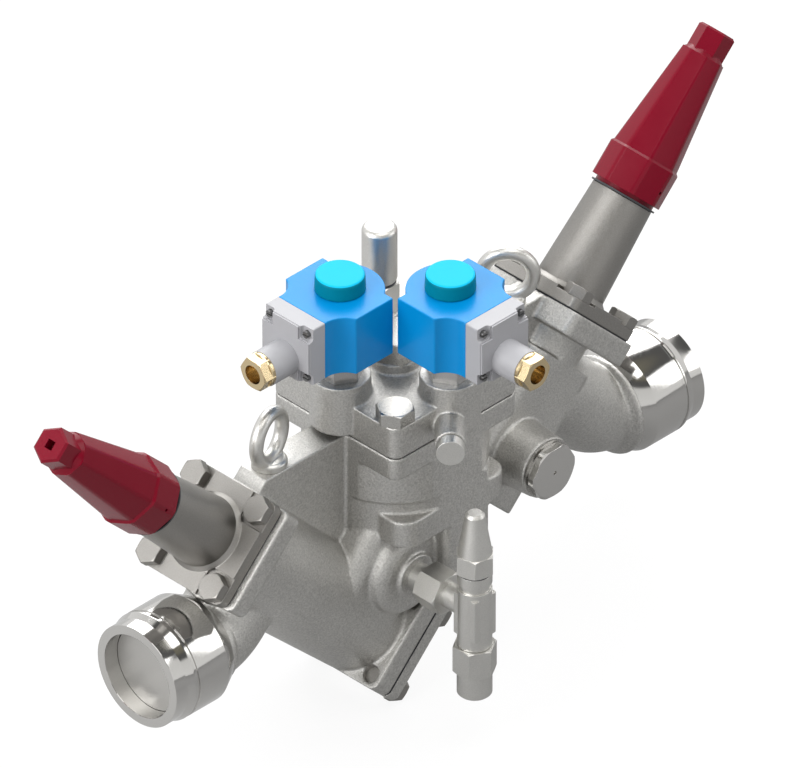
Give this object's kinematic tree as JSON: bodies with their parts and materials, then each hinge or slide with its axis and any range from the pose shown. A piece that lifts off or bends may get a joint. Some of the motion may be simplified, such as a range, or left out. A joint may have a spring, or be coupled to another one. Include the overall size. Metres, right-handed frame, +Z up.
{
  "type": "valve station",
  "caption": "Welded-in refrigerant valve station: slanted stop valves, a strainer and a pilot-operated main valve in one cast steel body, with weld ends, lifting eyes and a service valve.",
  "frame": {"origin": "centre of the inlet weld end's face", "axes": "+X along the pipe towards the outlet, +Z up along the main valve, -Y towards the service valve"},
  "size_m": [0.653, 0.1954, 0.375],
  "materials": {
    "cast_steel": "shot-blasted cast steel",
    "forged_steel": "satin forged steel",
    "turned_steel": "fine turned",
    "bolt_steel": "plain",
    "screw_steel": "dark",
    "plated_steel": "zinc plated",
    "stainless_steel": "stainless",
    "spring_steel": "plain wire",
    "blanking_plate": "dull sheet",
    "gasket": "fibre gasket",
    "sealing_rubber": "plain",
    "cap_plastic": "glossy crimson",
    "coil_plastic": "satin blue",
    "knob_plastic": "satin cyan",
    "box_plastic": "light grey",
    "gland_brass": "turned brass"
  },
  "bodies": {
    "station": {"valve_body": "cast_steel", "inlet_weld_nipple": "turned_steel", "outlet_weld_nipple": "turned_steel", "inlet_bonnet": "forged_steel", "inlet_bonnet_gasket": "gasket", "inlet_gland_nut": "bolt_steel", "outlet_bonnet": "forged_steel", "outlet_bonnet_gasket": "gasket", "outlet_gland_nut": "bolt_steel", "flange_bolts": "bolt_steel", "strainer_cover": "cast_steel", "strainer_gasket": "gasket", "strainer_basket": "stainless_steel", "valve_insert": "stainless_steel", "piston_spring": "spring_steel", "top_gasket": "gasket", "top_cover": "cast_steel", "top_bolts": "bolt_steel", "centre_plug": "bolt_steel", "pilot_plug": "plated_steel", "left_armature_tube": "stainless_steel", "right_armature_tube": "stainless_steel", "left_coil": "coil_plastic", "right_coil": "coil_plastic", "left_terminal_box": "box_plastic", "right_terminal_box": "box_plastic", "left_cable_gland": "gland_brass", "right_cable_gland": "gland_brass", "terminal_box_screws": "screw_steel", "plunger_springs": "spring_steel", "opener_gland": "plated_steel", "side_plug": "turned_steel", "side_plug_washer": "gasket", "service_fitting": "plated_steel", "service_valve_body": "plated_steel", "service_outlet_nut": "plated_steel", "lifting_eyebolts": "plated_steel"},
    "inlet_valve_cone": {"inlet_cone": "stainless_steel"},
    "inlet_valve_spindle": {"inlet_spindle": "stainless_steel"},
    "inlet_gasket_ring": {"inlet_cap_gasket": "sealing_rubber"},
    "inlet_screw_cap": {"inlet_cap": "cap_plastic"},
    "outlet_valve_cone": {"outlet_cone": "stainless_steel"},
    "outlet_valve_spindle": {"outlet_spindle": "stainless_steel"},
    "outlet_gasket_ring": {"outlet_cap_gasket": "sealing_rubber"},
    "outlet_screw_cap": {"outlet_cap": "cap_plastic"},
    "piston": {"main_piston": "stainless_steel"},
    "left_pilot_plunger": {"left_plunger": "stainless_steel"},
    "left_knob": {"left_coil_knob": "knob_plastic"},
    "right_pilot_plunger": {"right_plunger": "stainless_steel"},
    "right_knob": {"right_coil_knob": "knob_plastic"},
    "opener_piece": {"opener_plunger": "stainless_steel"},
    "opener_stem": {"opener_spindle": "stainless_steel"},
    "opener_seal": {"opener_cap_seal": "sealing_rubber"},
    "opener_screw_cap": {"opener_cap": "plated_steel"},
    "service_piece": {"service_needle": "stainless_steel"},
    "service_stem": {"service_spindle": "stainless_steel"},
    "service_seal": {"service_cap_seal": "sealing_rubber"},
    "service_screw_cap": {"service_cap": "plated_steel"},
    "inlet_disc": {"inlet_blanking_disc": "blanking_plate"},
    "outlet_disc": {"outlet_blanking_disc": "blanking_plate"}
  },
  "joints": [
    {"name": "inlet_cone_lift", "type": "slide", "parent": "station", "child": "inlet_valve_cone", "axis": [-0.7071, 0, 0.7071], "range_m": [0, 0.02]},
    {"name": "inlet_spindle_turn", "type": "hinge", "parent": "inlet_valve_cone", "child": "inlet_valve_spindle", "pos_m": [0.0733, 0, 0.0792], "axis": [-0.7071, 0, 0.7071], "range_deg": [0, 1801]},
    {"name": "inlet_cap_lift", "type": "slide", "parent": "station", "child": "inlet_gasket_ring", "axis": [-0.7071, 0, 0.7071], "range_m": [0, 0.02]},
    {"name": "inlet_cap_turn", "type": "hinge", "parent": "inlet_gasket_ring", "child": "inlet_screw_cap", "pos_m": [0.0733, 0, 0.0792], "axis": [-0.7071, 0, 0.7071], "range_deg": [0, 3601]},
    {"name": "outlet_cone_lift", "type": "slide", "parent": "station", "child": "outlet_valve_cone", "axis": [0.7071, 0, 0.7071], "range_m": [0, 0.02]},
    {"name": "outlet_spindle_turn", "type": "hinge", "parent": "outlet_valve_cone", "child": "outlet_valve_spindle", "pos_m": [0.40471, 0, 0.10571], "axis": [0.7071, 0, 0.7071], "range_deg": [0, 1801]},
    {"name": "outlet_cap_lift", "type": "slide", "parent": "station", "child": "outlet_gasket_ring", "axis": [0.7071, 0, 0.7071], "range_m": [0, 0.02]},
    {"name": "outlet_cap_turn", "type": "hinge", "parent": "outlet_gasket_ring", "child": "outlet_screw_cap", "pos_m": [0.40471, 0, 0.10571], "axis": [0.7071, 0, 0.7071], "range_deg": [0, 3601]},
    {"name": "piston_lift", "type": "slide", "parent": "station", "child": "piston", "axis": [0, 0, 1], "range_m": [0, 0.016], "stiffness_N_per_m": 2000, "springref_m": -0.01, "deforming": ["piston_spring"]},
    {"name": "left_plunger_lift", "type": "slide", "parent": "station", "child": "left_pilot_plunger", "axis": [0, 0, 1], "range_m": [0, 0.002], "stiffness_N_per_m": 800, "springref_m": -0.004, "deforming": ["plunger_springs"]},
    {"name": "left_knob_turn", "type": "hinge", "parent": "station", "child": "left_knob", "pos_m": [0.1935, 0, 0.23], "axis": [0, 0, 1], "range_deg": [0, 90]},
    {"name": "right_plunger_lift", "type": "slide", "parent": "station", "child": "right_pilot_plunger", "axis": [0, 0, 1], "range_m": [0, 0.002], "stiffness_N_per_m": 800, "springref_m": -0.004, "deforming": ["plunger_springs"]},
    {"name": "right_knob_turn", "type": "hinge", "parent": "station", "child": "right_knob", "pos_m": [0.246, -0.0525, 0.23], "axis": [0, 0, 1], "range_deg": [0, 90]},
    {"name": "opener_plunger_lift", "type": "slide", "parent": "station", "child": "opener_piece", "axis": [0, 0, 1], "range_m": [0, 0.006]},
    {"name": "opener_spindle_turn", "type": "hinge", "parent": "opener_piece", "child": "opener_stem", "pos_m": [0.2663, 0.0354, 0.15], "axis": [0, 0, 1], "range_deg": [0, 2161]},
    {"name": "opener_cap_lift", "type": "slide", "parent": "station", "child": "opener_seal", "axis": [0, 0, 1], "range_m": [0, 0.015]},
    {"name": "opener_cap_turn", "type": "hinge", "parent": "opener_seal", "child": "opener_screw_cap", "pos_m": [0.2663, 0.0354, 0.18], "axis": [0, 0, 1], "range_deg": [0, 3601]},
    {"name": "service_needle_lift", "type": "slide", "parent": "station", "child": "service_piece", "axis": [0, 0, 1], "range_m": [0, 0.005]},
    {"name": "service_spindle_turn", "type": "hinge", "parent": "service_piece", "child": "service_stem", "pos_m": [0.2156, -0.1064, 0], "axis": [0, 0, 1], "range_deg": [0, 1801]},
    {"name": "service_cap_lift", "type": "slide", "parent": "station", "child": "service_seal", "axis": [0, 0, 1], "range_m": [0, 0.012]},
    {"name": "service_cap_turn", "type": "hinge", "parent": "service_seal", "child": "service_screw_cap", "pos_m": [0.2156, -0.1064, 0.04], "axis": [0, 0, 1], "range_deg": [0, 2881]},
    {"name": "inlet_disc_pull", "type": "slide", "parent": "station", "child": "inlet_disc", "axis": [-1, 0, 0], "range_m": [0, 0.04]},
    {"name": "outlet_disc_pull", "type": "slide", "parent": "station", "child": "outlet_disc", "axis": [1, 0, 0], "range_m": [0, 0.04]}
  ],
  "couplings": [
    {"joint": "inlet_spindle_turn", "follows": "inlet_cone_lift", "rad_per_m": 1570.8},
    {"joint": "inlet_cap_turn", "follows": "inlet_cap_lift", "rad_per_m": 3141.6},
    {"joint": "outlet_spindle_turn", "follows": "outlet_cone_lift", "rad_per_m": 1570.8},
    {"joint": "outlet_cap_turn", "follows": "outlet_cap_lift", "rad_per_m": 3141.6},
    {"joint": "opener_spindle_turn", "follows": "opener_plunger_lift", "rad_per_m": 6283.2},
    {"joint": "opener_cap_turn", "follows": "opener_cap_lift", "rad_per_m": 4188.8},
    {"joint": "service_spindle_turn", "follows": "service_needle_lift", "rad_per_m": 6283.2},
    {"joint": "service_cap_turn", "follows": "service_cap_lift", "rad_per_m": 4188.8}
  ]
}
